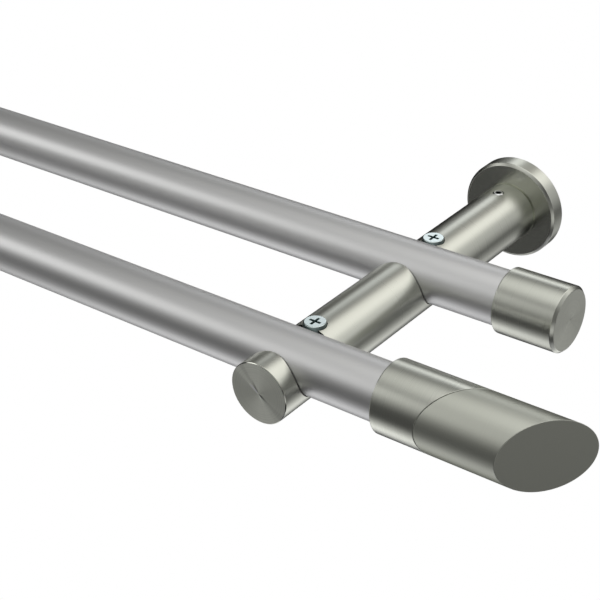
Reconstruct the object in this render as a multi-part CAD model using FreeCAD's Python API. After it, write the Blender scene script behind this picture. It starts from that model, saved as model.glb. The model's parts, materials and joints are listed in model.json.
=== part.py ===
import FreeCAD, Part
import math
import os

# Double curtain pole on two wall brackets, in millimetres.
# +X runs along the poles to the right-hand end, the wall is the plane Y = 0 with the
# room on the -Y side, and +Z is up. The origin lies on the wall, midway between the
# two brackets, at the height of the bracket arms' axes.

# Poles
pole_length = 1200.0
pole_diameter = 20.0
pole_wall = 1.2
rear_pole_from_wall = 73.0
pole_spacing = 70.0
pole_above_arm = 5.2  # pole axes above the arm axis

# Bracket arm: a turned bar with a saddle milled across it for each pole
bracket_inset = 53.8  # arm axis to the pole's end
arm_diameter = 22.3
arm_nose = 17.0  # front pole's axis to the arm's front face
arm_nose_chamfer = 0.15
arm_wall_chamfer = 0.6  # leaves a narrow groove in front of the rosette
saddle_clearance = 0.3

# Rosette and wall plate
rosette_diameter = 39.0
rosette_depth = 6.8
rosette_bevel = 0.95
rosette_wall = 1.4
plate_clearance = 0.5  # radial, wall plate inside the rosette
plate_thickness = 3.0
spigot_diameter = 14.0
spigot_engagement = 18.0  # spigot inside the arm
spigot_clearance = 0.1
spigot_chamfer = 0.4
wall_screw_hole = 4.5
wall_screw_head = 8.8
wall_screw_land = 0.6  # metal between spigot and countersink

# Pole screws: pan heads that press each pole into the hook of its saddle
pole_screw_diameter = 4.0
pole_screw_length = 12.0
pole_screw_head = 7.8
pole_screw_head_height = 2.7
pole_screw_head_round = 0.4
pole_screw_proud = 0.7  # head above the crest of the arm
pole_screw_counterbore_clearance = 0.2
cross_recess_length = 4.5
cross_recess_width = 1.1
cross_recess_depth = 1.6

# Socket set screws, one pattern for the arm and the end pieces
set_screw_diameter = 4.0
set_screw_socket = 2.0  # across the flats
set_screw_socket_depth = 1.4
set_screw_chamfer = 0.4
arm_set_screw_from_rosette = 8.4
arm_set_screw_proud = 0.1
set_screw_dimple = 1.0  # depth of its seat in the spigot
end_set_screw_reach = 1.0  # into the wall of the pole
end_set_screw_recess = 0.2  # below the outside of the end piece

# End pieces
end_bore_clearance = 0.1
end_bore_gap = 0.2  # pole's end to the floor of the bore
mouth_chamfer = 0.3
cap_diameter = 23.7
cap_grip = 14.4
cap_end = 9.1  # pole's end to the cap's outer face
cap_chamfer = 1.0
finial_diameter = 25.1
finial_grip = 14.0
finial_joint = 12.3  # pole's end to the oblique joint, along the axis
finial_head_length = 28.05  # oblique joint to the end face, along the axis
finial_cut_angle = 39.0  # turn of both oblique planes about the vertical

# Joining screw, from the sleeve's bore into the finial head
joining_screw_diameter = 5.0
joining_screw_length = 20.0
joining_screw_head = 8.5
joining_screw_head_height = 5.0
joining_screw_socket = 4.0
joining_screw_socket_depth = 2.5

thread_clearance = 0.05  # radial, plain bores stand for the threads
thread_runout = 1.4  # blind hole below the tip of its screw
screw_tip_chamfer = 0.5
drill_clearance = 0.15  # radial, holes that a screw only passes through

ALONG_X = FreeCAD.Vector(1, 0, 0)
ALONG_Y = FreeCAD.Vector(0, 1, 0)
ALONG_Z = FreeCAD.Vector(0, 0, 1)

pole_radius = pole_diameter / 2
arm_radius = arm_diameter / 2
rosette_radius = rosette_diameter / 2
spigot_radius = spigot_diameter / 2
set_screw_radius = set_screw_diameter / 2
pole_screw_radius = pole_screw_diameter / 2
saddle_radius = pole_radius + saddle_clearance
end_bore_radius = pole_radius + end_bore_clearance
arm_x = pole_length / 2 - bracket_inset
rear_pole_y = -rear_pole_from_wall
front_pole_y = rear_pole_y - pole_spacing
arm_front_y = front_pole_y - arm_nose
pole_screw_seat_z = arm_radius + pole_screw_proud - pole_screw_head_height
arm_set_screw_y = -rosette_depth - arm_set_screw_from_rosette


def turned(profile, origin, direction):
    """Turn a closed profile of (distance along the axis, radius) points about an axis."""
    points = [FreeCAD.Vector(along, 0, radius) for along, radius in profile]
    face = Part.Face(Part.makePolygon(points + points[:1]))
    solid = face.revolve(FreeCAD.Vector(0, 0, 0), ALONG_X, 360)
    solid.Placement = FreeCAD.Placement(origin, FreeCAD.Rotation(ALONG_X, direction))
    return solid


def hexagon(across_flats, depth, origin, direction):
    """Hexagonal prism that starts at origin and runs along direction."""
    corner = across_flats / math.sqrt(3)
    angles = [math.radians(60 * step) for step in range(7)]
    outline = [FreeCAD.Vector(0, corner * math.cos(a), corner * math.sin(a)) for a in angles]
    prism = Part.Face(Part.makePolygon(outline)).extrude(ALONG_X * depth)
    prism.Placement = FreeCAD.Placement(origin, FreeCAD.Rotation(ALONG_X, direction))
    return prism


def set_screw(tip, top, axis_start, direction):
    """Socket set screw from tip to top, both measured along its axis."""
    r = set_screw_radius
    c = set_screw_chamfer
    body = turned(
        [(tip, 0), (tip, r - c), (tip + c, r), (top - c, r), (top, r - c), (top, 0)],
        axis_start,
        direction,
    )
    floor = axis_start + direction * (top - set_screw_socket_depth)
    return body.cut(hexagon(set_screw_socket, set_screw_socket_depth + 1, floor, direction))


def pole_screw_y(pole_y):
    """Screw axis at which the underside of the head just meets the pole's rear flank."""
    rise = pole_screw_seat_z - pole_above_arm
    flank = math.sqrt(pole_radius**2 - rise**2)
    return pole_y + flank + pole_screw_head / 2 + thread_clearance


def pole(pole_y):
    """Tube with a drilled hole at each end, on the wall side, for the end set screws."""
    start = FreeCAD.Vector(-pole_length / 2, pole_y, pole_above_arm)
    tube = Part.makeCylinder(pole_radius, pole_length, start, ALONG_X)
    tube = tube.cut(Part.makeCylinder(pole_radius - pole_wall, pole_length, start, ALONG_X))
    grip = finial_grip if pole_y == front_pole_y else cap_grip
    for side in (-1, 1):
        hole_x = side * (pole_length / 2 - grip / 2)
        hole_start = FreeCAD.Vector(hole_x, pole_y, pole_above_arm)
        hole_radius = set_screw_radius + drill_clearance
        tube = tube.cut(Part.makeCylinder(hole_radius, pole_diameter, hole_start, ALONG_Y))
    return tube


def saddle(pole_y):
    """Cutter for one saddle: round under and in front of the pole, straight behind it."""
    width = arm_diameter + 2
    start = FreeCAD.Vector(-width / 2, pole_y, pole_above_arm)
    round_part = Part.makeCylinder(saddle_radius, width, start, ALONG_X)
    entry = Part.makeBox(width, saddle_radius, arm_diameter, start)
    return round_part.fuse(entry)


def bracket_arm():
    """Round bar with the two saddles, the screw seats and the bore for the spigot."""
    length = -rosette_depth - arm_front_y
    bore_depth = spigot_engagement + end_bore_gap
    bore_radius = spigot_radius + spigot_clearance
    wall_end = FreeCAD.Vector(0, -rosette_depth, 0)
    arm = turned(
        [
            (0, bore_radius),
            (0, arm_radius - arm_wall_chamfer),
            (arm_wall_chamfer, arm_radius),
            (length - arm_nose_chamfer, arm_radius),
            (length, arm_radius - arm_nose_chamfer),
            (length, 0),
            (bore_depth, 0),
            (bore_depth, bore_radius),
        ],
        wall_end,
        -ALONG_Y,
    )
    for pole_y in (rear_pole_y, front_pole_y):
        arm = arm.cut(saddle(pole_y))
        arm = arm.cut(pole_screw_hole(pole_y))
    thread_radius = set_screw_radius + thread_clearance
    thread_start = FreeCAD.Vector(0, arm_set_screw_y, 0)
    return arm.cut(Part.makeCylinder(thread_radius, arm_diameter, thread_start, ALONG_Z))


def pole_screw_hole(pole_y):
    """Counterbore and blind thread of one pole screw."""
    seat = FreeCAD.Vector(0, pole_screw_y(pole_y), pole_screw_seat_z)
    head_radius = pole_screw_head / 2 + pole_screw_counterbore_clearance
    counterbore = Part.makeCylinder(head_radius, arm_diameter, seat, ALONG_Z)
    depth = pole_screw_length + thread_runout
    thread = Part.makeCylinder(pole_screw_radius + thread_clearance, depth, seat, -ALONG_Z)
    return counterbore.fuse(thread)


def pole_screw(pole_y):
    """Flat pan head screw with a tapered cross recess."""
    seat = FreeCAD.Vector(0, pole_screw_y(pole_y), pole_screw_seat_z)
    head_radius = pole_screw_head / 2
    edge = pole_screw_head_round
    top = pole_screw_head_height
    r = pole_screw_radius
    tip = screw_tip_chamfer
    screw = turned(
        [
            (-pole_screw_length, 0),
            (-pole_screw_length, r - tip),
            (-pole_screw_length + tip, r),
            (0, r),
            (0, head_radius),
            (top - edge, head_radius),
            (top, head_radius - edge),
            (top, 0),
        ],
        seat,
        ALONG_Z,
    )
    head_top = seat + ALONG_Z * top
    return screw.cut(recess_bar(head_top, 0)).cut(recess_bar(head_top, 90))


def recess_bar(head_top, angle):
    """One bar of the cross recess, narrower and shorter at its floor."""
    wires = []
    for depth, share in ((0, 1.0), (cross_recess_depth, 0.55)):
        x = cross_recess_length / 2 * share
        y = cross_recess_width / 2 * share
        z = -depth
        corners = [(-x, -y), (x, -y), (x, y), (-x, y), (-x, -y)]
        wires.append(Part.makePolygon([FreeCAD.Vector(a, b, z) for a, b in corners]))
    bar = Part.makeLoft(wires, True, True)
    bar.Placement = FreeCAD.Placement(head_top, FreeCAD.Rotation(ALONG_Z, angle))
    return bar


def rosette():
    """Turned cover cup: its rim stands on the wall, the arm's end bears on its face."""
    inside = rosette_radius - rosette_wall
    hole = spigot_radius + spigot_clearance
    b = rosette_bevel
    return turned(
        [
            (0, inside),
            (0, rosette_radius),
            (rosette_depth - b, rosette_radius),
            (rosette_depth, rosette_radius - b),
            (rosette_depth, hole),
            (rosette_depth - rosette_wall, hole),
            (rosette_depth - rosette_wall, inside),
        ],
        FreeCAD.Vector(0, 0, 0),
        -ALONG_Y,
    )


def wall_plate():
    """Round plate with two countersunk holes and the spigot that carries the arm."""
    plate_radius = rosette_radius - rosette_wall - plate_clearance
    spigot_end = rosette_depth + spigot_engagement
    c = spigot_chamfer
    plate = turned(
        [
            (0, 0),
            (0, plate_radius),
            (plate_thickness, plate_radius),
            (plate_thickness, spigot_radius),
            (spigot_end - c, spigot_radius),
            (spigot_end, spigot_radius - c),
            (spigot_end, 0),
        ],
        FreeCAD.Vector(0, 0, 0),
        -ALONG_Y,
    )
    hole_radius = wall_screw_hole / 2
    head_radius = wall_screw_head / 2
    sink = head_radius - hole_radius
    for side in (-1, 1):
        centre = FreeCAD.Vector(0, 0, side * wall_screw_offset())
        countersunk = turned(
            [
                (-1, 0),
                (-1, hole_radius),
                (plate_thickness - sink, hole_radius),
                (plate_thickness, head_radius),
                (rosette_depth, head_radius),
                (rosette_depth, 0),
            ],
            centre,
            -ALONG_Y,
        )
        plate = plate.cut(countersunk)
    dimple_radius = set_screw_radius + drill_clearance
    floor = FreeCAD.Vector(0, arm_set_screw_y, spigot_radius - set_screw_dimple)
    return plate.cut(Part.makeCylinder(dimple_radius, spigot_diameter, floor, ALONG_Z))


def wall_screw_offset():
    """Wall screws above and below the spigot, clear of it by the named land."""
    return spigot_radius + wall_screw_land + wall_screw_head / 2


def arm_set_screw():
    """Set screw through the top of the arm, seated in the spigot's dimple."""
    tip = spigot_radius - set_screw_dimple
    top = arm_radius + arm_set_screw_proud
    return set_screw(tip, top, FreeCAD.Vector(0, arm_set_screw_y, 0), ALONG_Z)


def end_screw_bore(pole_y, grip):
    """Thread through the wall side of an end piece."""
    thread_start = FreeCAD.Vector(bracket_inset - grip / 2, pole_y, pole_above_arm)
    return Part.makeCylinder(
        set_screw_radius + thread_clearance, finial_diameter, thread_start, ALONG_Y
    )


def end_set_screw(pole_y, grip, outer_radius):
    """Set screw of an end piece, with its tip in the drilled hole of the pole."""
    axis_start = FreeCAD.Vector(bracket_inset - grip / 2, pole_y, pole_above_arm)
    tip = pole_radius - end_set_screw_reach
    return set_screw(tip, outer_radius - end_set_screw_recess, axis_start, ALONG_Y)


def rear_end_cap():
    """Turned cap over the rear pole's end."""
    radius = cap_diameter / 2
    bore_depth = cap_grip + end_bore_gap
    length = cap_grip + cap_end
    cap = turned(
        [
            (0, end_bore_radius + mouth_chamfer),
            (0, radius - mouth_chamfer),
            (mouth_chamfer, radius),
            (length - cap_chamfer, radius),
            (length, radius - cap_chamfer),
            (length, 0),
            (bore_depth, 0),
            (bore_depth, end_bore_radius),
            (mouth_chamfer, end_bore_radius),
        ],
        FreeCAD.Vector(bracket_inset - cap_grip, rear_pole_y, pole_above_arm),
        ALONG_X,
    )
    return cap.cut(end_screw_bore(rear_pole_y, cap_grip))


def beyond_oblique_plane(along_axis):
    """Block that lies outside an oblique plane crossing the front pole's axis there."""
    size = 4 * (finial_diameter + finial_head_length)
    block = Part.makeBox(size, 2 * size, 2 * size, FreeCAD.Vector(0, -size, -size))
    turn = FreeCAD.Rotation(ALONG_Z, -finial_cut_angle)
    centre = FreeCAD.Vector(bracket_inset + along_axis, front_pole_y, pole_above_arm)
    block.Placement = FreeCAD.Placement(centre, turn)
    return block


def finial_sleeve():
    """Sleeve on the front pole, closed by a web that ends in the oblique joint."""
    radius = finial_diameter / 2
    reach = finial_joint + radius * math.tan(math.radians(finial_cut_angle)) + 1
    bore_depth = finial_grip + end_bore_gap
    shank_radius = joining_screw_diameter / 2 + drill_clearance
    sleeve = turned(
        [
            (0, end_bore_radius + mouth_chamfer),
            (0, radius - mouth_chamfer),
            (mouth_chamfer, radius),
            (finial_grip + reach, radius),
            (finial_grip + reach, shank_radius),
            (bore_depth, shank_radius),
            (bore_depth, end_bore_radius),
            (mouth_chamfer, end_bore_radius),
        ],
        FreeCAD.Vector(bracket_inset - finial_grip, front_pole_y, pole_above_arm),
        ALONG_X,
    )
    sleeve = sleeve.cut(beyond_oblique_plane(finial_joint))
    return sleeve.cut(end_screw_bore(front_pole_y, finial_grip))


def finial_head():
    """Solid head between the oblique joint and the parallel oblique end face."""
    radius = finial_diameter / 2
    slant = radius * math.tan(math.radians(finial_cut_angle)) + 1
    start_x = bracket_inset + finial_joint - slant
    length = finial_head_length + 2 * slant
    start = FreeCAD.Vector(start_x, front_pole_y, pole_above_arm)
    head = Part.makeCylinder(radius, length, start, ALONG_X)
    head = head.common(beyond_oblique_plane(finial_joint))
    head = head.cut(beyond_oblique_plane(finial_joint + finial_head_length))
    seat = FreeCAD.Vector(bracket_inset + end_bore_gap, front_pole_y, pole_above_arm)
    thread_radius = joining_screw_diameter / 2 + thread_clearance
    depth = joining_screw_length + thread_runout
    return head.cut(Part.makeCylinder(thread_radius, depth, seat, ALONG_X))


def finial_joining_screw():
    """Socket cap screw whose head bears on the sleeve's web, inside the pole."""
    seat = FreeCAD.Vector(bracket_inset + end_bore_gap, front_pole_y, pole_above_arm)
    r = joining_screw_diameter / 2
    head_radius = joining_screw_head / 2
    edge = pole_screw_head_round
    height = joining_screw_head_height
    tip = screw_tip_chamfer
    screw = turned(
        [
            (-height, 0),
            (-height, head_radius - edge),
            (-height + edge, head_radius),
            (0, head_radius),
            (0, r),
            (joining_screw_length - tip, r),
            (joining_screw_length, r - tip),
            (joining_screw_length, 0),
        ],
        seat,
        ALONG_X,
    )
    floor = seat - ALONG_X * (height - joining_screw_socket_depth)
    socket = hexagon(joining_screw_socket, joining_screw_socket_depth + 1, floor, -ALONG_X)
    return screw.cut(socket)


def right_side():
    """Every piece of the right-hand end, placed about the right arm's own axis."""
    return {
        "bracket_arm": bracket_arm(),
        "wall_plate": wall_plate(),
        "rosette": rosette(),
        "arm_set_screw": arm_set_screw(),
        "rear_pole_screw": pole_screw(rear_pole_y),
        "front_pole_screw": pole_screw(front_pole_y),
        "rear_end_cap": rear_end_cap(),
        "end_cap_set_screw": end_set_screw(rear_pole_y, cap_grip, cap_diameter / 2),
        "finial_sleeve": finial_sleeve(),
        "finial_head": finial_head(),
        "finial_joining_screw": finial_joining_screw(),
        "finial_set_screw": end_set_screw(front_pole_y, finial_grip, finial_diameter / 2),
    }


os.makedirs("parts", exist_ok=True)
nodes = {"front_pole": pole(front_pole_y), "rear_pole": pole(rear_pole_y)}
for name, piece in right_side().items():
    right_piece = piece.translated(FreeCAD.Vector(arm_x, 0, 0))
    nodes["right_" + name] = right_piece
    nodes["left_" + name] = right_piece.mirror(FreeCAD.Vector(0, 0, 0), ALONG_X)

for name, shape in nodes.items():
    shape.exportStep("parts/" + name + ".step")
    solids = len(shape.Solids)
    print(f"{name}: {solids} solid, {shape.Volume:.0f} mm3, valid {shape.isValid()}")
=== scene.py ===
# %% [markdown]
# This scene dresses a double curtain pole: two metal tubes, one behind the other, that lie
# in the saddles of a round bracket arm at each end. The CAD model is loaded first, because it
# fixes where every piece is. Each piece that the eye reaches is then turned or milled again
# here, finer and with softened edges, and sits exactly where its CAD node sits.

# %% Load the frame
import json
import math
import bpy
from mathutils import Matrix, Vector


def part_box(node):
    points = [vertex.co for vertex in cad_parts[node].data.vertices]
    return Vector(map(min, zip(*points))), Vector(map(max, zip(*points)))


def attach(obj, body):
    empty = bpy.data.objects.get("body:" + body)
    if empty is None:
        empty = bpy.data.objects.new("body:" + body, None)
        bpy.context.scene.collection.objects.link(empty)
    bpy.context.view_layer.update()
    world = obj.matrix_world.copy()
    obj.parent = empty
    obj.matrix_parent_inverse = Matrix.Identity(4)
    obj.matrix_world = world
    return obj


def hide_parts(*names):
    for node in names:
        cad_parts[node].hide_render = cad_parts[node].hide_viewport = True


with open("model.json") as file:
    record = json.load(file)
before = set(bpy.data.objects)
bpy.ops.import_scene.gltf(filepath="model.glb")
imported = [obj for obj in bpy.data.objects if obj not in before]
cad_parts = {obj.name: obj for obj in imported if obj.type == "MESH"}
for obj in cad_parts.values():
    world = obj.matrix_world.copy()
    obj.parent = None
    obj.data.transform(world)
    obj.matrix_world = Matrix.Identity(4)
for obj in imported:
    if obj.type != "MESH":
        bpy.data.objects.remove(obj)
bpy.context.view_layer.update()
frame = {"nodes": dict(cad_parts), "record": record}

# %% [markdown]
# Sizes are read from the frame, so that a new piece can't drift from the solid that it stands
# for. The mounts give the two pole axes and the bracket's axis exactly. A node's box gives the
# rest. Only small things that a box can't tell, such as a gap or a chamfer, are written here.

# %% Axes and sizes
MM = 0.001
ALONG_X = Vector((1, 0, 0))
ALONG_Y = Vector((0, 1, 0))
ALONG_Z = Vector((0, 0, 1))

mounts = {mount["name"]: mount for mount in frame["record"]["mounts"]}
front_axis = Vector(mounts["front_pole_run"]["pos_m"])
rear_axis = Vector(mounts["rear_pole_run"]["pos_m"])
arm_axis = Vector(mounts["right_wall_face"]["pos_m"])
pole_radius = mounts["front_pole_run"]["dims"]["r_mm"] * MM
pole_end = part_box("front_pole")[1].x
print("pole radius", pole_radius, "pole end at", pole_end, "bracket at", arm_axis)

# %% [markdown]
# Almost every piece here came off a lathe, so one helper does what a lathe does. It starts
# with a ring of edges, extrudes it along the axis and scales it to the next radius, once for
# each corner of the profile. Extruding a ring gives clean rows of four-sided faces, which
# shade better than a cylinder cut by booleans. Everything is deselected first, because an
# operator acts on whatever is selected.

# %% Turn a profile
RING_SEGMENTS = 160
MERGE_DISTANCE = 1e-7


def select_only(piece):
    bpy.ops.object.select_all(action="DESELECT")
    piece.select_set(True)
    bpy.context.view_layer.objects.active = piece


def face_outwards():
    """In edit mode, turn every face of the mesh outwards."""
    bpy.ops.mesh.select_all(action="SELECT")
    bpy.ops.mesh.normals_make_consistent(inside=False)


def turned_piece(name, profile, start, direction, segments=RING_SEGMENTS):
    """Turn (distance along the axis, radius) corners into a closed mesh."""
    bpy.ops.object.select_all(action="DESELECT")
    first_along, first_radius = profile[0]
    bpy.ops.mesh.primitive_circle_add(
        vertices=segments,
        radius=first_radius,
        fill_type="NOTHING",
        location=start + direction * first_along,
        rotation=direction.to_track_quat("Z", "Y").to_euler(),
    )
    piece = bpy.context.object
    piece.name = name
    bpy.ops.object.mode_set(mode="EDIT")
    bpy.ops.mesh.select_all(action="SELECT")
    for (along, radius), (next_along, next_radius) in zip(profile, profile[1:]):
        step = direction * (next_along - along)
        bpy.ops.mesh.extrude_edges_move(TRANSFORM_OT_translate={"value": step})
        ratio = next_radius / radius
        bpy.ops.transform.resize(
            value=[1 if part else ratio for part in direction],
            center_override=start + direction * next_along,
        )
    bpy.ops.mesh.select_all(action="SELECT")
    bpy.ops.mesh.remove_doubles(threshold=MERGE_DISTANCE)
    bpy.ops.mesh.select_all(action="DESELECT")
    bpy.ops.mesh.select_non_manifold()
    bpy.ops.mesh.fill_holes(sides=0)
    face_outwards()
    bpy.ops.object.mode_set(mode="OBJECT")
    bpy.ops.object.transform_apply(location=True, rotation=True, scale=True)
    return piece


# %% [markdown]
# Milling and drilling remove a plain tool shape from the turned piece. A boolean modifier
# does the same, and is applied at once so that the next step works on a real mesh.

# %% Cut with a tool shape
def drill_bit(radius, start, direction, length, segments=RING_SEGMENTS):
    """Round cutter from start along direction."""
    bpy.ops.object.select_all(action="DESELECT")
    bpy.ops.mesh.primitive_cylinder_add(
        vertices=segments,
        radius=radius,
        depth=length,
        location=start + direction * (length / 2),
        rotation=direction.to_track_quat("Z", "Y").to_euler(),
    )
    return bpy.context.object


def cut(piece, cutter):
    """Take the cutter's shape out of the piece and throw the cutter away."""
    select_only(piece)
    modifier = piece.modifiers.new("cut", "BOOLEAN")
    modifier.operation = "DIFFERENCE"
    modifier.solver = "EXACT"
    modifier.object = cutter
    bpy.ops.object.modifier_apply(modifier=modifier.name)
    bpy.data.objects.remove(cutter, do_unlink=True)


# %% [markdown]
# No real metal edge is perfectly sharp. A bevel of about a tenth of a millimetre gives each
# edge the thin bright line that makes turned metal look real. Weighted normals then keep the
# large faces flat, so that only the bevel itself looks round.

# %% Soften the edges
CRUMB = 0.02 * MM
SHARP_ANGLE = math.radians(28)
BEVEL_SEGMENTS = 3
LARGE_FACES_LEAD = 100


def soften_edges(piece, width):
    """Weld the crumbs that cuts leave, round the sharp edges and smooth the shading."""
    select_only(piece)
    bpy.ops.object.mode_set(mode="EDIT")
    bpy.ops.mesh.select_all(action="SELECT")
    bpy.ops.mesh.remove_doubles(threshold=CRUMB)
    bpy.ops.object.mode_set(mode="OBJECT")
    bpy.ops.object.shade_smooth()
    bevel = piece.modifiers.new("soft edges", "BEVEL")
    bevel.width = width
    bevel.segments = BEVEL_SEGMENTS
    bevel.limit_method = "ANGLE"
    bevel.angle_limit = SHARP_ANGLE
    bevel.use_clamp_overlap = False
    bpy.ops.object.modifier_apply(modifier=bevel.name)
    weighted = piece.modifiers.new("flat faces stay flat", "WEIGHTED_NORMAL")
    weighted.weight = LARGE_FACES_LEAD
    weighted.keep_sharp = True
    bpy.ops.object.modifier_apply(modifier=weighted.name)
    print(piece.name, "has", len(piece.data.polygons), "faces")


def mirrored(piece, name):
    """The same piece for the left-hand end, as a mesh of its own."""
    select_only(piece)
    bpy.ops.object.duplicate(linked=False)
    twin = bpy.context.object
    twin.name = name
    twin.scale.x = -1
    bpy.ops.object.transform_apply(location=False, rotation=False, scale=True)
    bpy.ops.object.mode_set(mode="EDIT")
    face_outwards()
    bpy.ops.object.mode_set(mode="OBJECT")
    return twin


# %% [markdown]
# The poles are drawn tubes. Their profile is the tube's wall seen in section, turned about
# the pole's axis, so that the tube stays hollow as the real one is. More segments than the
# CAD mesh has keep the long highlight smooth.

# %% Poles
POLE_WALL = 1.2 * MM

finished = {}


def pole(name, axis):
    inner = pole_radius - POLE_WALL
    length = 2 * pole_end
    wall_section = [
        (0, inner),
        (0, pole_radius),
        (length, pole_radius),
        (length, inner),
        (0, inner),
    ]
    start = Vector((-pole_end, axis.y, axis.z))
    return turned_piece(name, wall_section, start, ALONG_X)


finished["front_pole"] = pole("front_tube", front_axis)
finished["rear_pole"] = pole("rear_tube", rear_axis)

# %% [markdown]
# The rosette is a shallow cup with its rim on the wall. Its front edge has a small bevel,
# which catches a bright ring of light. The section of its wall goes once round as a loop.

# %% Rosette
ROSETTE_WALL = 1.4 * MM
ROSETTE_BEVEL = 0.95 * MM
SPIGOT_RADIUS = 7.0 * MM
SPIGOT_CLEARANCE = 0.1 * MM


def rosette():
    low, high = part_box("right_rosette")
    radius = (high.x - low.x) / 2
    depth = high.y - low.y
    hole = SPIGOT_RADIUS + SPIGOT_CLEARANCE
    cup_section = [
        (0, radius),
        (depth - ROSETTE_BEVEL, radius),
        (depth, radius - ROSETTE_BEVEL),
        (depth, hole),
        (depth - ROSETTE_WALL, hole),
        (depth - ROSETTE_WALL, radius - ROSETTE_WALL),
        (0, radius - ROSETTE_WALL),
        (0, radius),
    ]
    return turned_piece("right_cover_rosette", cup_section, arm_axis, -ALONG_Y)


finished["right_rosette"] = rosette()

# %% [markdown]
# The bracket arm is one turned bar with a flat front face. Each saddle is a round cut under
# and in front of the pole, and a straight wall behind it, so that the arm wraps the pole like
# a hook. The way in is a little wider at the front pole than at the rear one.

# %% Bracket arm
ARM_NOSE_CHAMFER = 0.25 * MM
ARM_WALL_CHAMFER = 0.6 * MM
ARM_BORE_DEPTH = 18.2 * MM
SADDLE_GAP = 0.3 * MM
SADDLE_SEGMENTS = 256
ENTRY_GAPS = {"rear": 0.3 * MM, "front": 0.65 * MM}

arm_low, arm_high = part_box("right_bracket_arm")
arm_radius = arm_high.z - arm_axis.z
arm_length = arm_high.y - arm_low.y


def bracket_bar():
    bore = SPIGOT_RADIUS + SPIGOT_CLEARANCE
    bar_profile = [
        (ARM_BORE_DEPTH, bore),
        (0, bore),
        (0, arm_radius - ARM_WALL_CHAMFER),
        (ARM_WALL_CHAMFER, arm_radius),
        (arm_length - ARM_NOSE_CHAMFER, arm_radius),
        (arm_length, arm_radius - ARM_NOSE_CHAMFER),
    ]
    start = Vector((arm_axis.x, arm_high.y, arm_axis.z))
    return turned_piece("right_bracket_bar", bar_profile, start, -ALONG_Y)


def saddle_cuts(axis, entry_gap):
    """Mill one saddle: a round channel, then the straight way in behind the pole's axis."""
    width = 3 * arm_radius
    reach = pole_radius + SADDLE_GAP
    start = Vector((arm_axis.x - width / 2, axis.y, axis.z))
    cut(arm_bar, drill_bit(reach, start, ALONG_X, width, SADDLE_SEGMENTS))
    bpy.ops.object.select_all(action="DESELECT")
    entry = pole_radius + entry_gap
    bpy.ops.mesh.primitive_cube_add(
        size=1,
        location=(arm_axis.x, axis.y + entry / 2, axis.z + arm_radius),
        scale=(width, entry, 2 * arm_radius),
    )
    cut(arm_bar, bpy.context.object)


arm_bar = bracket_bar()
saddle_cuts(rear_axis, ENTRY_GAPS["rear"])
saddle_cuts(front_axis, ENTRY_GAPS["front"])
finished["right_bracket_arm"] = arm_bar

# %% [markdown]
# The pan head screws stand upright behind each pole and press it into its hook. The head is
# turned with a rounded edge, and a cross of two tapered bars is cut into it. The seat and the
# thread's hole are drilled into the arm at the same place.

# %% Pole screws
POLE_SCREW_RADIUS = 2.0 * MM
POLE_SCREW_HEAD = 3.9 * MM
POLE_SCREW_HEAD_HEIGHT = 2.7 * MM
POLE_SCREW_EDGE = 0.4 * MM
POLE_SCREW_SHOULDER = 0.12 * MM
SCREW_TIP = 0.5 * MM
SCREW_SEGMENTS = 96
CROSS_LENGTH = 4.6 * MM
CROSS_WIDTH = 1.0 * MM
CROSS_DEPTH = 1.6 * MM
CROSS_TAPER = 0.55
HEAD_GAP = 0.2 * MM
THREAD_GAP = 0.05 * MM
HOLE_SEGMENTS = 64

# decimals of a metre
HUNDREDTH_OF_A_MM = 5


def screw_axis(node):
    """Where an upright screw's axis crosses the height of the arm's axis."""
    low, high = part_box(node)
    middle = (low + high) / 2
    return Vector((arm_axis.x, round(middle.y, HUNDREDTH_OF_A_MM), arm_axis.z))


def cross_bar(top, angle):
    """One tapered bar of the cross recess, at its named size where it meets the head's top."""
    bpy.ops.object.select_all(action="DESELECT")
    bpy.ops.mesh.primitive_cube_add(size=1)
    bar_tool = bpy.context.object
    bar_tool.scale = (CROSS_LENGTH, CROSS_WIDTH, 2 * CROSS_DEPTH)
    bpy.ops.object.transform_apply(location=False, rotation=False, scale=True)
    for vertex in bar_tool.data.vertices:
        ratio = CROSS_TAPER if vertex.co.z < 0 else 2 - CROSS_TAPER
        vertex.co.x *= ratio
        vertex.co.y *= ratio
    bar_tool.location = top
    bar_tool.rotation_euler.z = angle
    return bar_tool


def pole_screw(name, node):
    low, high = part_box(node)
    top = high.z
    axis = screw_axis(node)
    seat = top - POLE_SCREW_HEAD_HEIGHT
    pan_profile = [
        (low.z, POLE_SCREW_RADIUS - SCREW_TIP),
        (low.z + SCREW_TIP, POLE_SCREW_RADIUS),
        (seat, POLE_SCREW_RADIUS),
        (seat, POLE_SCREW_HEAD),
        (top - POLE_SCREW_EDGE, POLE_SCREW_HEAD),
        (top - POLE_SCREW_SHOULDER, POLE_SCREW_HEAD - POLE_SCREW_SHOULDER),
        (top, POLE_SCREW_HEAD - POLE_SCREW_EDGE),
    ]
    screw = turned_piece(name, pan_profile, axis, ALONG_Z, SCREW_SEGMENTS)
    for angle in (0, math.pi / 2):
        cut(screw, cross_bar(axis + ALONG_Z * top, angle))
    return screw


def drill_screw_seat(node):
    low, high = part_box(node)
    seat = screw_axis(node) + ALONG_Z * (high.z - POLE_SCREW_HEAD_HEIGHT)
    cut(arm_bar, drill_bit(POLE_SCREW_HEAD + HEAD_GAP, seat, ALONG_Z, arm_radius))
    depth = seat.z - low.z + 2 * SCREW_TIP
    hole = drill_bit(POLE_SCREW_RADIUS + THREAD_GAP, seat, -ALONG_Z, depth, HOLE_SEGMENTS)
    cut(arm_bar, hole)


for place in ("rear", "front"):
    node = f"right_{place}_pole_screw"
    drill_screw_seat(node)
    finished[node] = pole_screw(f"right_{place}_pan_screw", node)

# %% [markdown]
# The set screw on top of the arm holds it on the wall plate's spigot. It is a short threaded
# pin with a hexagon socket, and it stands in a plain hole through the top of the arm.

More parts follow.
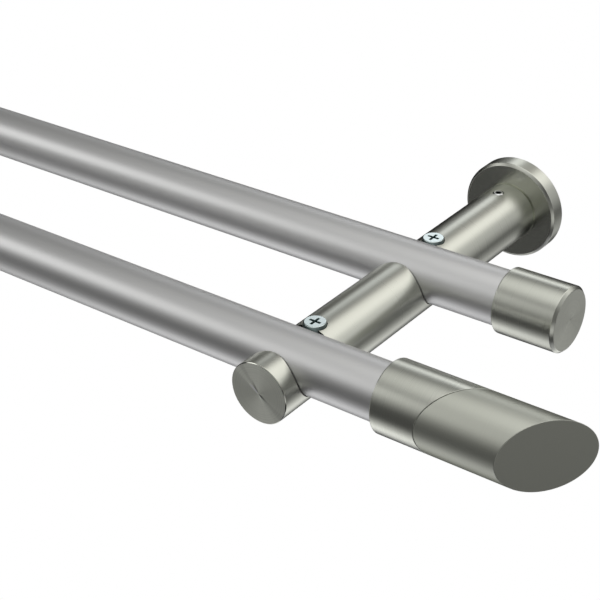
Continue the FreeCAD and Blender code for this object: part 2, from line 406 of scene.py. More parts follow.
# %% Arm set screw
SET_SCREW_RADIUS = 2.0 * MM
SET_SCREW_CHAMFER = 0.4 * MM
SOCKET_ACROSS = 2.2 * MM
SOCKET_DEPTH = 1.4 * MM
SOCKET_SIDES = 6


def arm_set_screw():
    low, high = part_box("right_arm_set_screw")
    axis = screw_axis("right_arm_set_screw")
    pin_profile = [
        (low.z, SET_SCREW_RADIUS - SET_SCREW_CHAMFER),
        (low.z + SET_SCREW_CHAMFER, SET_SCREW_RADIUS),
        (high.z - SET_SCREW_CHAMFER, SET_SCREW_RADIUS),
        (high.z, SET_SCREW_RADIUS - SET_SCREW_CHAMFER),
    ]
    screw = turned_piece("right_socket_set_screw", pin_profile, axis, ALONG_Z, HOLE_SEGMENTS)
    floor = axis + ALONG_Z * (high.z - SOCKET_DEPTH)
    corner = SOCKET_ACROSS / math.sqrt(3)
    cut(screw, drill_bit(corner, floor, ALONG_Z, 2 * SOCKET_DEPTH, SOCKET_SIDES))
    hole_radius = SET_SCREW_RADIUS + 2 * THREAD_GAP
    cut(arm_bar, drill_bit(hole_radius, axis, ALONG_Z, 2 * arm_radius, HOLE_SEGMENTS))
    return screw


finished["right_arm_set_screw"] = arm_set_screw()

# %% [markdown]
# The rear pole ends in a plain turned cap. Its outer edge has a broad chamfer, and its face
# is flat. The bore inside stops at the pole's end.

# %% Rear end cap
CAP_CHAMFER = 1.0 * MM
MOUTH_CHAMFER = 0.3 * MM
BORE_CLEARANCE = 0.1 * MM
BORE_GAP = 0.2 * MM


def rear_end_cap():
    low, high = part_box("right_rear_end_cap")
    radius = (high.y - low.y) / 2
    length = high.x - low.x
    bore = pole_radius + BORE_CLEARANCE
    bore_depth = pole_end + BORE_GAP - low.x
    cap_profile = [
        (bore_depth, bore),
        (MOUTH_CHAMFER, bore),
        (0, bore + MOUTH_CHAMFER),
        (0, radius - MOUTH_CHAMFER),
        (MOUTH_CHAMFER, radius),
        (length - CAP_CHAMFER, radius),
        (length, radius - CAP_CHAMFER),
    ]
    start = Vector((low.x, rear_axis.y, rear_axis.z))
    return turned_piece("right_turned_cap", cap_profile, start, ALONG_X)


finished["right_rear_end_cap"] = rear_end_cap()

# %% [markdown]
# The finial is two turned pieces cut by parallel slanting planes. Bisect cuts a mesh along a
# plane, throws one side away and closes the cut with a face, which is just what a saw does
# to a bar. The joint's place on the axis is worked out from the head's box.

# %% Finial
CUT_ANGLE = math.radians(39.0)
JOINT_GAP = 0.2 * MM
SPARE_LENGTH = 2 * MM
cut_normal = Vector((math.cos(CUT_ANGLE), -math.sin(CUT_ANGLE), 0))

head_low, head_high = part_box("right_finial_head")
finial_radius = (head_high.y - head_low.y) / 2
slant = finial_radius * math.tan(CUT_ANGLE)
joint_x = head_low.x + slant
face_x = head_high.x - slant
print("finial joint at", joint_x, "and end face at", face_x)


def saw(piece, x, keep_inner):
    """Cut square to the slanting normal at x on the front pole's axis."""
    select_only(piece)
    bpy.ops.object.mode_set(mode="EDIT")
    bpy.ops.mesh.select_all(action="SELECT")
    bpy.ops.mesh.bisect(
        plane_co=(x, front_axis.y, front_axis.z),
        plane_no=cut_normal,
        use_fill=True,
        clear_outer=keep_inner,
        clear_inner=not keep_inner,
    )
    face_outwards()
    bpy.ops.object.mode_set(mode="OBJECT")


def finial_sleeve():
    low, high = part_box("right_finial_sleeve")
    bore = pole_radius + BORE_CLEARANCE
    bore_depth = pole_end + BORE_GAP - low.x
    length = high.x - low.x + SPARE_LENGTH
    sleeve_profile = [
        (bore_depth, bore),
        (MOUTH_CHAMFER, bore),
        (0, bore + MOUTH_CHAMFER),
        (0, finial_radius - MOUTH_CHAMFER),
        (MOUTH_CHAMFER, finial_radius),
        (length, finial_radius),
    ]
    start = Vector((low.x, front_axis.y, front_axis.z))
    sleeve = turned_piece("right_finial_ferrule", sleeve_profile, start, ALONG_X)
    saw(sleeve, joint_x - JOINT_GAP / 2, keep_inner=True)
    return sleeve


def finial_head():
    start = Vector((joint_x - slant - SPARE_LENGTH, front_axis.y, front_axis.z))
    length = face_x - joint_x + 2 * (slant + SPARE_LENGTH)
    bar_profile = [(0, finial_radius), (length, finial_radius)]
    head = turned_piece("right_finial_plug", bar_profile, start, ALONG_X)
    saw(head, joint_x + JOINT_GAP / 2, keep_inner=False)
    saw(head, face_x, keep_inner=True)
    return head


finished["right_finial_sleeve"] = finial_sleeve()
finished["right_finial_head"] = finial_head()

# %% [markdown]
# The left-hand end is the mirror image of the right-hand one. The copies are made before the
# edges are softened, because the soft edges carry their own normals, which a mirror would
# turn round.

# %% Left-hand end and soft edges
EDGE_WIDTHS = {
    "rosette": 0.15 * MM,
    "pole_screw": 0.06 * MM,
    "set_screw": 0.05 * MM,
    "bracket_arm": 0.05 * MM,
    "finial": 0.15 * MM,
}
OTHER_EDGE_WIDTH = 0.12 * MM

for node in [name for name in finished if name.startswith("right_")]:
    piece = finished[node]
    left_name = piece.name.replace("right_", "left_")
    finished[node.replace("right_", "left_")] = mirrored(piece, left_name)

for node, piece in finished.items():
    width = next((wide for key, wide in EDGE_WIDTHS.items() if key in node), OTHER_EDGE_WIDTH)
    soften_edges(piece, width)
    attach(piece, "root")
    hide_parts(node)

# %% [markdown]
# A material is a small tree of nodes. Each of these helpers adds one node and wires it, so
# that the finishes below read like recipes. What is passed in may be a plain value or the
# output of another node.

# %% Wire nodes
NUMBER_RESULTS = ("DOT_PRODUCT", "LENGTH")


def link(tree, source, target):
    tree.links.new(source, target)


def wired(tree, node, values):
    """Give a node's first inputs their values, or wire other nodes' outputs to them."""
    for slot, value in zip(node.inputs, values):
        if isinstance(value, bpy.types.NodeSocket):
            link(tree, value, slot)
        else:
            slot.default_value = value
    return node


def math_node(tree, operation, *values):
    node = tree.nodes.new("ShaderNodeMath")
    node.operation = operation
    return wired(tree, node, values).outputs["Value"]


def vector_node(tree, operation, *values):
    node = tree.nodes.new("ShaderNodeVectorMath")
    node.operation = operation
    result = "Value" if operation in NUMBER_RESULTS else "Vector"
    return wired(tree, node, values).outputs[result]


def map_range(tree, pattern, low, high):
    """Spread a 0 to 1 pattern between two values."""
    node = tree.nodes.new("ShaderNodeMapRange")
    link(tree, pattern, node.inputs["Value"])
    node.inputs["To Min"].default_value = low
    node.inputs["To Max"].default_value = high
    return node.outputs["Result"]


def smooth_step(tree, value, start, end, low, high):
    """Go smoothly from low to high while the value goes from start to end."""
    node = tree.nodes.new("ShaderNodeMapRange")
    node.interpolation_type = "SMOOTHSTEP"
    for slot, setting in (("From Min", start), ("From Max", end), ("To Min", low), ("To Max", high)):
        node.inputs[slot].default_value = setting
    link(tree, value, node.inputs["Value"])
    return node.outputs["Result"]


def noise_pattern(tree, place, scale, detail):
    noise = tree.nodes.new("ShaderNodeTexNoise")
    noise.inputs["Scale"].default_value = scale
    noise.inputs["Detail"].default_value = detail
    link(tree, place, noise.inputs["Vector"])
    return noise.outputs["Fac"]


# %% [markdown]
# Every finish here is bare metal, so they all start from one bright metal shader. A pattern
# raises a ripple of a thousandth of a millimetre or two, which is enough to break up a
# reflection. The edge tint is the shader's specular tint, which on a metal sets how bright
# it stays where it is seen nearly edge-on. Below 1 it gives the metal a darker outline.

# %% Bare metal
RIPPLE_HEIGHT = 0.01 * MM


def opaque(colour, level=1.0):
    """A colour at a level, with full alpha."""
    return tuple(level * part for part in colour) + (1,)


def new_metal(name, edge_tint):
    material = bpy.data.materials.new(name)
    material.use_nodes = True
    tree = material.node_tree
    shader = tree.nodes["Principled BSDF"]
    shader.inputs["Metallic"].default_value = 1.0
    shader.inputs["Specular Tint"].default_value = opaque((1, 1, 1), edge_tint)
    return material, tree, shader


def add_ripple(tree, shader, pattern, strength):
    ripple = tree.nodes.new("ShaderNodeBump")
    ripple.inputs["Strength"].default_value = strength
    ripple.inputs["Distance"].default_value = RIPPLE_HEIGHT
    link(tree, pattern, ripple.inputs["Height"])
    link(tree, ripple.outputs["Normal"], shader.inputs["Normal"])


# %% [markdown]
# Satin, plated and ground metal have a fine even grain with no direction. Noise varies the
# roughness a little and raises the ripple, which keeps the surface from looking like plastic.

# %% Satin metal
SATIN_GRAIN = 0.25 * MM
SATIN_VARIATION = 0.05
SATIN_DETAIL = 3


def satin_metal(name, colour, roughness, grain=SATIN_GRAIN, bump=0.1, edge_tint=1.0):
    material, tree, shader = new_metal(name, edge_tint)
    shader.inputs["Base Color"].default_value = opaque(colour)
    place = tree.nodes.new("ShaderNodeTexCoord").outputs["Object"]
    pattern = noise_pattern(tree, place, 1 / grain, SATIN_DETAIL)
    rough = map_range(tree, pattern, roughness - SATIN_VARIATION, roughness + SATIN_VARIATION)
    link(tree, rough, shader.inputs["Roughness"])
    add_ripple(tree, shader, pattern, bump)
    return material


# %% [markdown]
# Turned metal has fine grooves that run round its axis. They are drawn as a line pattern:
# distance along the axis plus distance from it changes across every groove, on the wall of
# the bar and on its end face alike. The lines vary the colour and the roughness and raise the
# ripple. Where the grooves are coarse they also smear reflections across themselves. The
# shader's anisotropy does that, and takes the groove's direction as its tangent, which is the
# cross product of the axis and the point's offset from it. The walls are polished too finely
# for that, so they have no anisotropy and mirror hard bands of light.

# %% Turned nickel
NICKEL = (0.687, 0.70, 0.627)
GROOVE_SPACING = 0.5 * MM
GROOVE_DETAIL = 4
GROOVE_RAGGEDNESS = 0.7
TURNED_VARIATION = 0.03
QUARTER_TURN = 0.25


def around_axis(tree, axis, centre):
    """A point's offset from the centre, and its groove's direction, as long as its radius."""
    place = tree.nodes.new("ShaderNodeTexCoord").outputs["Object"]
    offset = vector_node(tree, "SUBTRACT", place, centre)
    return offset, vector_node(tree, "CROSS_PRODUCT", axis, offset)


def groove_pattern(tree, axis, centre, spacing):
    """Direction of the turning grooves, and a line pattern that runs across them."""
    offset, groove = around_axis(tree, axis, centre)
    radius = vector_node(tree, "LENGTH", groove)
    along = vector_node(tree, "DOT_PRODUCT", offset, axis)
    lines = tree.nodes.new("ShaderNodeTexNoise")
    lines.noise_dimensions = "1D"
    lines.inputs["Scale"].default_value = 1 / spacing
    lines.inputs["Detail"].default_value = GROOVE_DETAIL
    lines.inputs["Roughness"].default_value = GROOVE_RAGGEDNESS
    link(tree, math_node(tree, "ADD", along, radius), lines.inputs["W"])
    return groove, lines.outputs["Fac"]


def turned_nickel(
    name,
    axis,
    centre,
    roughness,
    line_contrast,
    bump=0.2,
    edge_tint=1.0,
    anisotropy=0.0,
    spacing=GROOVE_SPACING,
    colour=NICKEL,
):
    """Nickel with grooves round an axis."""
    material, tree, shader = new_metal(name, edge_tint)
    groove, lines = groove_pattern(tree, axis, centre, spacing)
    shader.inputs["Anisotropic"].default_value = anisotropy
    shader.inputs["Anisotropic Rotation"].default_value = QUARTER_TURN
    link(tree, groove, shader.inputs["Tangent"])
    rough = map_range(tree, lines, roughness - TURNED_VARIATION, roughness + TURNED_VARIATION)
    link(tree, rough, shader.inputs["Roughness"])
    tint = tree.nodes.new("ShaderNodeMix")
    tint.data_type = "RGBA"
    tint.inputs["A"].default_value = opaque(colour, 1 + line_contrast / 2)
    tint.inputs["B"].default_value = opaque(colour, 1 - line_contrast / 2)
    link(tree, lines, tint.inputs["Factor"])
    link(tree, tint.outputs["Result"], shader.inputs["Base Color"])
    add_ripple(tree, shader, lines, bump)
    return material


# %% [markdown]
# The nose of the arm and the face of the cap were faced on the lathe. The fans of light and dark
# about the centre that their rings of grooves would show, and thin bright and dark streaks that
# run out from it, are painted into the metal's colour as painted highlights and painted dark
# reflections, so they stay where they are in every view. A direction about the centre is told by
# the dot product with the groove there. Fine spokes of noise, strongest at the centre, fill in
# the rest of the painted highlights, and a level lifts the whole face's colour as a painted
# brightening.

# %% Faced ends
FACED_ROUGHNESS = 0.416
FACED_CONTRAST = 0.3
FACED_SPACING = 0.8 * MM
SPOKE_CONTRAST = 0.1
SPOKE_SCALE = 5
SPOKE_DETAIL = 5
SPOKE_FADE = 5 * MM
SPOKES_AT_CENTRE = 2.0
SPOKES_AT_RIM = 0.5
STREAK_LEAD_IN = 0.2 * MM
STREAK_RISE = 0.3 * MM

# painted highlights and painted dark reflections: levels above zero are painted highlight, below
# zero painted dark reflection
# angle from the side towards the top and half width, both in degrees, then level
NOSE_PAINTED_GLINTS = [(141, 9, 0.24), (127, 7, -0.22), (-35, 10, -0.24), (-62, 13, 0.1)]
CAP_PAINTED_GLINTS = [(160, 14, 0.04), (-40, 14, 0.04)]

# angle in degrees, half width, length, level
NOSE_PAINTED_STREAKS = [
    (145, 0.7 * MM, 6 * MM, 0.8),
    (119, 0.6 * MM, 6 * MM, -0.8),
    (-32, 0.7 * MM, 4 * MM, -0.7),
    (-64, 0.5 * MM, 3 * MM, 0.35),
    (5, 0.5 * MM, 3 * MM, 0.35),
]
CAP_PAINTED_STREAKS = [(172, 0.5 * MM, 3 * MM, -0.3), (100, 0.5 * MM, 2.5 * MM, -0.2)]


def outward_at(angle, sideways):
    """Direction from the centre of an end face, turned from the side towards the top."""
    turn = math.radians(angle)
    return sideways * math.cos(turn) + ALONG_Z * math.sin(turn)


def painted_fans_and_streaks(tree, axis, centre, sideways, glints, streaks):
    """Painted highlights and painted dark reflections of a faced end, as a brightness that is 1 on
    average.
    """
    offset, groove = around_axis(tree, axis, centre)
    spoke = vector_node(tree, "NORMALIZE", groove)
    spokes = noise_pattern(tree, spoke, SPOKE_SCALE, SPOKE_DETAIL)
    total = map_range(tree, spokes, -SPOKE_CONTRAST, SPOKE_CONTRAST)
    for angle, width, level in glints:
        aim = vector_node(tree, "DOT_PRODUCT", spoke, axis.cross(outward_at(angle, sideways)))
        fan = smooth_step(tree, aim, math.cos(math.radians(width)), 1, 0, level)
        total = math_node(tree, "ADD", total, fan)
    radius = vector_node(tree, "LENGTH", groove)
    fade = smooth_step(tree, radius, 0, SPOKE_FADE, SPOKES_AT_CENTRE, SPOKES_AT_RIM)
    total = math_node(tree, "MULTIPLY", total, fade)
    for angle, half_width, length, level in streaks:
        outward = outward_at(angle, sideways)
        out = vector_node(tree, "DOT_PRODUCT", offset, outward)
        aside = vector_node(tree, "DOT_PRODUCT", offset, axis.cross(outward))
        line = smooth_step(tree, math_node(tree, "ABSOLUTE", aside), 0, half_width, level, 0)
        rise = smooth_step(tree, out, -STREAK_LEAD_IN, STREAK_RISE, 0, 1)
        fall = smooth_step(tree, out, 0, length, 1, 0)
        line = math_node(tree, "MULTIPLY", math_node(tree, "MULTIPLY", line, rise), fall)
        total = math_node(tree, "ADD", total, line)
    return math_node(tree, "ADD", total, 1.0)


def faced_nickel_painted_glints(name, axis, centre, sideways, glints, streaks, level, anisotropy):
    """Nickel faced on the lathe, with rings of coarser grooves, and painted highlight fans and
    streaks in its colour.
    """
    material = turned_nickel(
        name,
        axis,
        centre,
        FACED_ROUGHNESS,
        FACED_CONTRAST,
        anisotropy=anisotropy,
        spacing=FACED_SPACING,
    )
    tree = material.node_tree
    base_colour = tree.nodes["Principled BSDF"].inputs["Base Color"]
    rings = base_colour.links[0].from_socket
    fans = painted_fans_and_streaks(tree, axis, centre, sideways, glints, streaks)
    # the painted highlights and dark reflections, lifted by the level as a painted brightening,
    # scale the colour of the rings
    brightness = math_node(tree, "MULTIPLY", fans, level)
    link(tree, vector_node(tree, "MULTIPLY", rings, brightness), base_colour)
    return material


# %% [markdown]
# A piece is first dressed all over. Faces with another finish are then picked by a rule, a
# small function that is told a face's centre and normal. Nearly all of them leave out the
# sign of x, so that they hold on the mirrored pieces too.

# %% Dress a piece
SKIN = 0.15 * MM
FLAT = math.cos(math.radians(5))
HALF_TURNED = math.cos(math.radians(45))
HALF_TURNED_MARGIN = 0.2


def dress(node, material, faces=None):
    """Give a piece a material: all of it, or the faces that the rule picks out."""
    piece = finished.get(node, frame["nodes"][node])
    if faces is None:
        piece.data.materials.clear()
    piece.data.materials.append(material)
    if faces is None:
        return
    picked = [face for face in piece.data.polygons if faces(face.center, face.normal)]
    for face in picked:
        face.material_index = len(piece.data.materials) - 1
    print(piece.name, "wears", material.name, "on", len(picked), "faces")


def end_face_of(along, place):
    """A rule for the faces that look along an axis at one end of a piece."""

    def on_the_end(centre, normal):
        return abs(normal.dot(along)) > FLAT and abs(abs(centre.dot(along)) - place) < SKIN

    return on_the_end


def chamfer_of(along, place):
    """A rule for the chamfer round one end of a piece."""

    def on_the_chamfer(centre, normal):
        slanted = abs(abs(normal.dot(along)) - HALF_TURNED) < HALF_TURNED_MARGIN
        return slanted and abs(abs(centre.dot(along)) - place) < ARM_NOSE_CHAMFER

    return on_the_chamfer


# %% [markdown]
# The arms, rosettes, caps and finials are nickel from the same workshop, but not equally
# fine. The arm and the cap are polished, the sleeve shows its turning lines, and the head is
# satin and a shade yellower. The nose has a narrow chamfer that is polished brightest of all.

# %% Nickel pieces
POLISHED_ROUGHNESS = 0.285
POLISHED_EDGE_TINT = 0.76
HEAD_ROUGHNESS = 0.41
HEAD_COLOUR = (0.685, 0.70, 0.622)


def polished_nickel(name, axis, centre, line_contrast=0.14, bump=0.15):
    return turned_nickel(
        name, axis, centre, POLISHED_ROUGHNESS, line_contrast, bump, POLISHED_EDGE_TINT
    )


sleeve_nickel = turned_nickel(
    "sleeve_nickel",
    ALONG_X,
    front_axis,
    POLISHED_ROUGHNESS,
    line_contrast=0.3,
    edge_tint=0.9,
)
head_nickel = turned_nickel(
    "head_nickel",
    ALONG_X,
    front_axis,
    HEAD_ROUGHNESS,
    line_contrast=0.06,
    edge_tint=0.05,
    colour=HEAD_COLOUR,
)
cap_nickel = polished_nickel("cap_nickel", ALONG_X, rear_axis)
# the faced ends carry painted highlight fans and streaks, and their level lifts the colour as a
# painted brightening
cap_face_painted_glints = faced_nickel_painted_glints(
    "cap_face_painted_glints",
    ALONG_X,
    rear_axis,
    -ALONG_Y,
    CAP_PAINTED_GLINTS,
    CAP_PAINTED_STREAKS,
    level=1.06,
    anisotropy=0.25,
)
edge_nickel = satin_metal("edge_nickel", NICKEL, 0.12, bump=0.02)

cap_face_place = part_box("right_rear_end_cap")[1].x
nose_place = -arm_low.y

for side, sign in (("right", 1), ("left", -1)):
    axis_point = Vector((sign * arm_axis.x, arm_axis.y, arm_axis.z))
    arm_nickel = polished_nickel(
        f"{side}_arm_nickel", ALONG_Y, axis_point, line_contrast=0.04, bump=0.06
    )
    rim_nickel = polished_nickel(f"{side}_rim_nickel", ALONG_Y, axis_point)
    nose_painted_glints = faced_nickel_painted_glints(
        f"{side}_nose_nickel",
        ALONG_Y,
        axis_point,
        ALONG_X * sign,
        NOSE_PAINTED_GLINTS,
        NOSE_PAINTED_STREAKS,
        level=1.15,
        anisotropy=0.58,
    )
    dress(f"{side}_bracket_arm", arm_nickel)
    dress(f"{side}_bracket_arm", nose_painted_glints, end_face_of(ALONG_Y, nose_place))
    dress(f"{side}_bracket_arm", edge_nickel, chamfer_of(ALONG_Y, nose_place))
    dress(f"{side}_rosette", rim_nickel)
    dress(f"{side}_rear_end_cap", cap_nickel)
    dress(f"{side}_rear_end_cap", cap_face_painted_glints, end_face_of(ALONG_X, cap_face_place))
    dress(f"{side}_finial_sleeve", sleeve_nickel)
    dress(f"{side}_finial_head", head_nickel)

# %% [markdown]
# The tubes have a satin finish, so their highlight is broad and soft. The pole screws are
# zinc plated and bluish. Their upright sides are coloured dark, as painted shade from the seats
# they stand in. The small screws are plain steel, and the wall plates are steel as it comes
# from the press, which is duller.

# %% Tubes, screws and plates
TUBE_GREY = (0.855, 0.855, 0.85)
UPRIGHT = 0.5

satin_tube = satin_metal("satin_tube", TUBE_GREY, 0.447, edge_tint=POLISHED_EDGE_TINT)
zinc = satin_metal("bright_zinc", (0.81, 0.91, 0.90), 0.22)
# painted shade: the pole screws' upright sides get a dark zinc colour for the shade of their seats
zinc_painted_shade = satin_metal("zinc_painted_shade", (0.25, 0.31, 0.31), 0.35)
plain_steel = satin_metal("plain_steel", (0.95, 0.96, 0.95), 0.2)
plate_steel = satin_metal("plate_steel", (0.9, 0.91, 0.9), 0.55)


def upright(centre, normal):
    return abs(normal.z) < UPRIGHT


for node in frame["nodes"]:
    if node in ("front_pole", "rear_pole"):
        dress(node, satin_tube)
    elif "pole_screw" in node:
        dress(node, zinc)
        dress(node, zinc_painted_shade, upright)
    elif "set_screw" in node or "joining_screw" in node:
        dress(node, plain_steel)
    elif "wall_plate" in node:
        dress(node, plate_steel)

# %% [markdown]
# Three finishes cover only some faces of a piece. The rosette's front and the finial's slanting
# faces are ground flat, so they mirror one dark part of the studio evenly. The milled saddles
# and screw seats are rough, and their colour is painted near black as painted shade. The
# recesses in the screws are painted dark as painted shade in their hollows. The milled saddles
# and screw seats are rough and take little light. The recesses in the screws are dark.
# Each rule below names such faces by where they lie or which way they face. The one for the
# slanting faces knows only the right-hand slant, so the left-hand finial keeps the head's
# finish there.

# %% Ground, milled and recessed faces
GROUND_GRAIN = 0.6 * MM
GROUND_BUMP = 0.03

ground_nickel = satin_metal("ground_nickel", NICKEL, 0.25, GROUND_GRAIN, GROUND_BUMP)
sawn_nickel = satin_metal("sawn_nickel", (0.478, 0.487, 0.428), 0.45, GROUND_GRAIN, GROUND_BUMP)
# painted shade: the milled saddles, seats and holes inside the arm get a near-black colour for the
# shade in them
milled_painted_shade = satin_metal("milled_painted_shade", (0.05, 0.05, 0.047), 0.55)
# painted shade: the set screw's socket gets a near-black colour for the shade inside it
recess_painted_shade = satin_metal("recess_painted_shade", (0.03, 0.035, 0.035), 0.6)
# painted shade: the pole screws' cross recess gets a dark teal colour for the shade inside it
cross_painted_shade = satin_metal("cross_painted_shade", (0.11, 0.18, 0.18), 0.6)


def rosette_front(centre, normal):
    return normal.y < -FLAT and centre.y < -ROSETTE_WALL


def sawn_face(centre, normal):
    """Faces square to the right-hand finial's cut."""
    across = Vector((abs(normal.x), normal.y if normal.x > 0 else -normal.y, 0))
    return abs(across.dot(cut_normal)) > FLAT


def below_arm_skin(centre, normal):
    from_axis = Vector((abs(centre.x) - arm_axis.x, centre.z - arm_axis.z)).length
    at_an_end = centre.y < arm_low.y + SKIN or centre.y > arm_high.y - SKIN
    on_an_end = abs(normal.y) > FLAT and at_an_end
    return from_axis < arm_radius - ARM_WALL_CHAMFER - SKIN and not on_an_end


def recess_of(node, reach):
    """A rule for the faces of a screw's recess: under its top and near its axis."""
    low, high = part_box(node)
    middle = (low + high) / 2
    deepest = high.z - CROSS_DEPTH - SKIN
    highest = high.z - SKIN / 3

    def inside(centre, normal):
        from_axis = Vector((centre.x - middle.x, centre.y - middle.y)).length
        return deepest < centre.z < highest and from_axis < reach

    return inside


for side in ("right", "left"):
    dress(f"{side}_rosette", ground_nickel, rosette_front)
    dress(f"{side}_finial_sleeve", sawn_nickel, sawn_face)
    dress(f"{side}_finial_head", sawn_nickel, sawn_face)
    dress(f"{side}_bracket_arm", milled_painted_shade, below_arm_skin)
    for node in (f"{side}_rear_pole_screw", f"{side}_front_pole_screw"):
        dress(node, cross_painted_shade, recess_of(node, POLE_SCREW_HEAD - POLE_SCREW_EDGE - SKIN))
    node = f"{side}_arm_set_screw"
    dress(node, recess_painted_shade, recess_of(node, SET_SCREW_RADIUS - SET_SCREW_CHAMFER))

# %% [markdown]
# The floor is pale and lies well below the poles, which hang on a wall. To the camera and to
# the metal it is plain white, and it still takes what soft shadow reaches it.

# %% Floor
FLOOR_DROP = 2.2
FLOOR_RADIUS = 0.5
FLOOR_SEGMENTS = 96
FLOOR_GREY = (0.8, 0.8, 0.8)

bpy.ops.object.select_all(action="DESELECT")
bpy.ops.mesh.primitive_circle_add(
    vertices=FLOOR_SEGMENTS,
    radius=FLOOR_RADIUS,
    fill_type="NGON",
    location=(0, 0, -FLOOR_DROP),
)
floor = bpy.context.object
floor.name = "floor"


def seen_directly(tree):
    """1 for camera, glossy and transmission rays, 0 for the light that falls on things."""
    path = tree.nodes.new("ShaderNodeLightPath").outputs
    seen = math_node(tree, "MAXIMUM", path["Is Camera Ray"], path["Is Glossy Ray"])
    return math_node(tree, "MAXIMUM", seen, path["Is Transmission Ray"])


def mixed_shader(tree, factor, first, second):
    mix = tree.nodes.new("ShaderNodeMixShader")
    return wired(tree, mix, (factor, first, second)).outputs["Shader"]


floor_material = bpy.data.materials.new("white_floor")
floor_material.use_nodes = True
tree = floor_material.node_tree
tree.nodes.clear()
plain = tree.nodes.new("ShaderNodeBsdfDiffuse")
plain.inputs["Color"].default_value = opaque(FLOOR_GREY)
white = tree.nodes.new("ShaderNodeEmission")
look = mixed_shader(tree, seen_directly(tree), plain.outputs["BSDF"], white.outputs["Emission"])
link(tree, look, tree.nodes.new("ShaderNodeOutputMaterial").inputs["Surface"])
floor.data.materials.append(floor_material)

# %% [markdown]
# The studio is drawn in the world. Polished metal is only what it reflects, so the studio's
# light and dark bands are what gives the pieces their form. First comes the tent: a bright
# floor, a dark band at the horizon and grey cloth above it. It is a ramp over the height of
# a direction. The camera itself sees plain white. Reflections keep the studio, because a
# white world would wipe the bands off the metal.

# %% Tent
FLOOR_TINT = (1, 1, 1.01)
CLOTH_TINT = (1, 1, 0.99)
FLOOR_TOP = -40

# elevation in degrees, then level
TENT = [
    (-90, 2.1),
    (-60, 2.05),
    (-50, 0.95),
    (-42, 0.35),
    (-34, 0.06),
    (-25, 0.045),
    (-12, 0.065),
    (0, 0.055),
    (12, 0.21),
    (24, 0.42),
    (36, 0.46),
    (48, 0.19),
    (60, 0.82),
    (90, 1.35),
]

world = bpy.data.worlds.new("studio")
bpy.context.scene.world = world
world.use_nodes = True
tree = world.node_tree
tree.nodes.clear()
direction = tree.nodes.new("ShaderNodeTexCoord").outputs["Generated"]
split = tree.nodes.new("ShaderNodeSeparateXYZ")
link(tree, direction, split.inputs["Vector"])
tent = tree.nodes.new("ShaderNodeValToRGB")
link(tree, math_node(tree, "MULTIPLY_ADD", split.outputs["Z"], 0.5, 0.5), tent.inputs["Fac"])

ramp = tent.color_ramp
ramp.interpolation = "LINEAR"
while len(ramp.elements) > 1:
    ramp.elements.remove(ramp.elements[0])
for index, (elevation, level) in enumerate(TENT):
    place = (1 + math.sin(math.radians(elevation))) / 2
    element = ramp.elements[0] if index == 0 else ramp.elements.new(place)
    element.position = place
    element.color = opaque(FLOOR_TINT if elevation < FLOOR_TOP else CLOTH_TINT, level)
print("tent of", len(ramp.elements), "heights")

# %% [markdown]
# Soft boxes stand in the tent, and so do dark cards, which are the boxes with a level below
# zero: they take light away. Each is round, and is told by the direction of its middle, its
# size in degrees and its level. The sum is kept from going below black.

# %% Soft boxes and cards
COOL = (0.985, 1.0, 1.03)
WARM = (1.02, 1.0, 0.98)
NEUTRAL = (1, 1, 1)
OUTER_EDGE = 1.6
INNER_EDGE = 0.4

# angles in degrees, azimuth 0 towards the room and 90 towards +X
SOFT_BOXES = [
    # behind on the left, for the streak along the top of the cap and the sleeve
    {"azimuth": -163, "elevation": 25, "size": 12, "level": 2.0},
    {"azimuth": -165, "elevation": 28, "size": 15.5, "level": -1.8},
    {"azimuth": -150, "elevation": 29, "size": 8, "level": 1.1, "tint": COOL},
    # a small one for the flat tops of the pole screws
    {"azimuth": -142, "elevation": 32, "size": 3.5, "level": 0.3, "tint": COOL},
    # on the left, for the broad upper band of the poles
    {"azimuth": -58, "elevation": 27, "size": 13, "level": 1.35},
    {"azimuth": -95, "elevation": 26, "size": 30, "level": -0.4},
    # low on the left, for the undersides of the poles and the arms
    {"azimuth": -82, "elevation": -31, "size": 24, "level": 0.35},
    {"azimuth": -135, "elevation": -41, "size": 27, "level": -1.65},
    # behind on the right, for the crest and the flanks of the arms
    {"azimuth": 162, "elevation": 44, "size": 20, "level": 0.85, "tint": WARM},
    {"azimuth": 123, "elevation": 8, "size": 19, "level": 0.5},
    {"azimuth": 159, "elevation": -57, "size": 28, "level": 0.4},
    # in the room on the right, for the end face of the finial
    {"azimuth": 62, "elevation": -37, "size": 24, "level": 0.68},
    {"azimuth": 49, "elevation": -74, "size": 32, "level": -2.05},
    {"azimuth": 60, "elevation": 32, "size": 12.5, "level": -1.6},
]


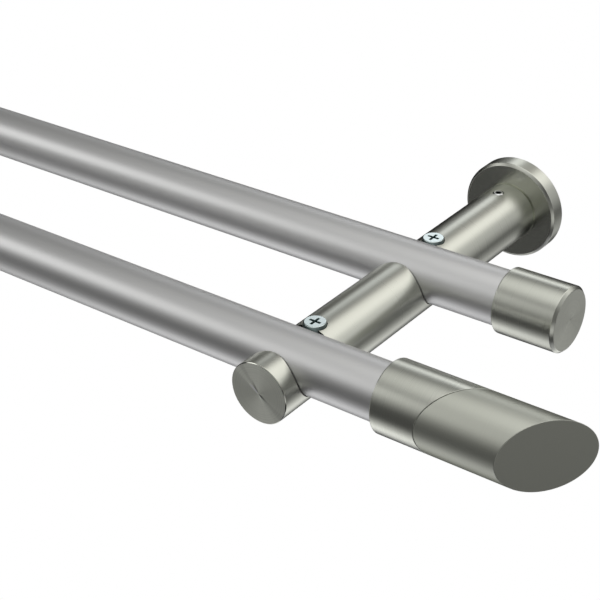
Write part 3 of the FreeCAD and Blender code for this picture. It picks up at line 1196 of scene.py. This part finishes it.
def compass(azimuth, elevation):
    """The direction that an azimuth and an elevation point to."""
    around = math.radians(azimuth)
    up = math.radians(elevation)
    level = math.cos(up)
    return Vector((math.sin(around) * level, -math.cos(around) * level, math.sin(up)))


total = tent.outputs["Color"]
for box in SOFT_BOXES:
    aim = vector_node(tree, "DOT_PRODUCT", direction, compass(box["azimuth"], box["elevation"]))
    outer = math.cos(math.radians(OUTER_EDGE * box["size"]))
    inner = math.cos(math.radians(INNER_EDGE * box["size"]))
    spot = smooth_step(tree, aim, outer, inner, 0, box["level"])
    light = vector_node(tree, "MULTIPLY", spot, box.get("tint", NEUTRAL))
    total = vector_node(tree, "ADD", total, light)
studio_level = vector_node(tree, "MAXIMUM", total, (0, 0, 0))

studio_light = tree.nodes.new("ShaderNodeBackground")
link(tree, studio_level, studio_light.inputs["Color"])
backdrop = tree.nodes.new("ShaderNodeBackground")
backdrop.inputs["Color"].default_value = opaque(NEUTRAL)
rays = tree.nodes.new("ShaderNodeLightPath").outputs
look = mixed_shader(
    tree, rays["Is Camera Ray"], studio_light.outputs["Background"], backdrop.outputs["Background"]
)
link(tree, look, tree.nodes.new("ShaderNodeOutputWorld").inputs["Surface"])
print("studio with", len(SOFT_BOXES), "soft boxes and cards")

# %% [markdown]
# The camera looks down on the right-hand bracket from the room. Its place, turn and lens come
# from a fit of the solids' outlines to the photograph.

# %% Camera
CAMERA_PLACE = (0.800685, -0.448886, 0.261074)
CAMERA_TURN = (59.413, 2.145, 37.953)
LENS = 87.637
SENSOR_WIDTH = 36
NEAREST_SEEN = 0.01

camera_data = bpy.data.cameras.new("camera")
camera_data.sensor_width = SENSOR_WIDTH
camera_data.lens = LENS
camera_data.clip_start = NEAREST_SEEN
camera = bpy.data.objects.new("camera", camera_data)
bpy.context.scene.collection.objects.link(camera)
camera.location = CAMERA_PLACE
camera.rotation_euler = [math.radians(angle) for angle in CAMERA_TURN]
bpy.context.scene.camera = camera
bpy.context.scene.view_settings.view_transform = "Standard"
print("camera at", camera.location, "with a lens of", LENS, "mm")
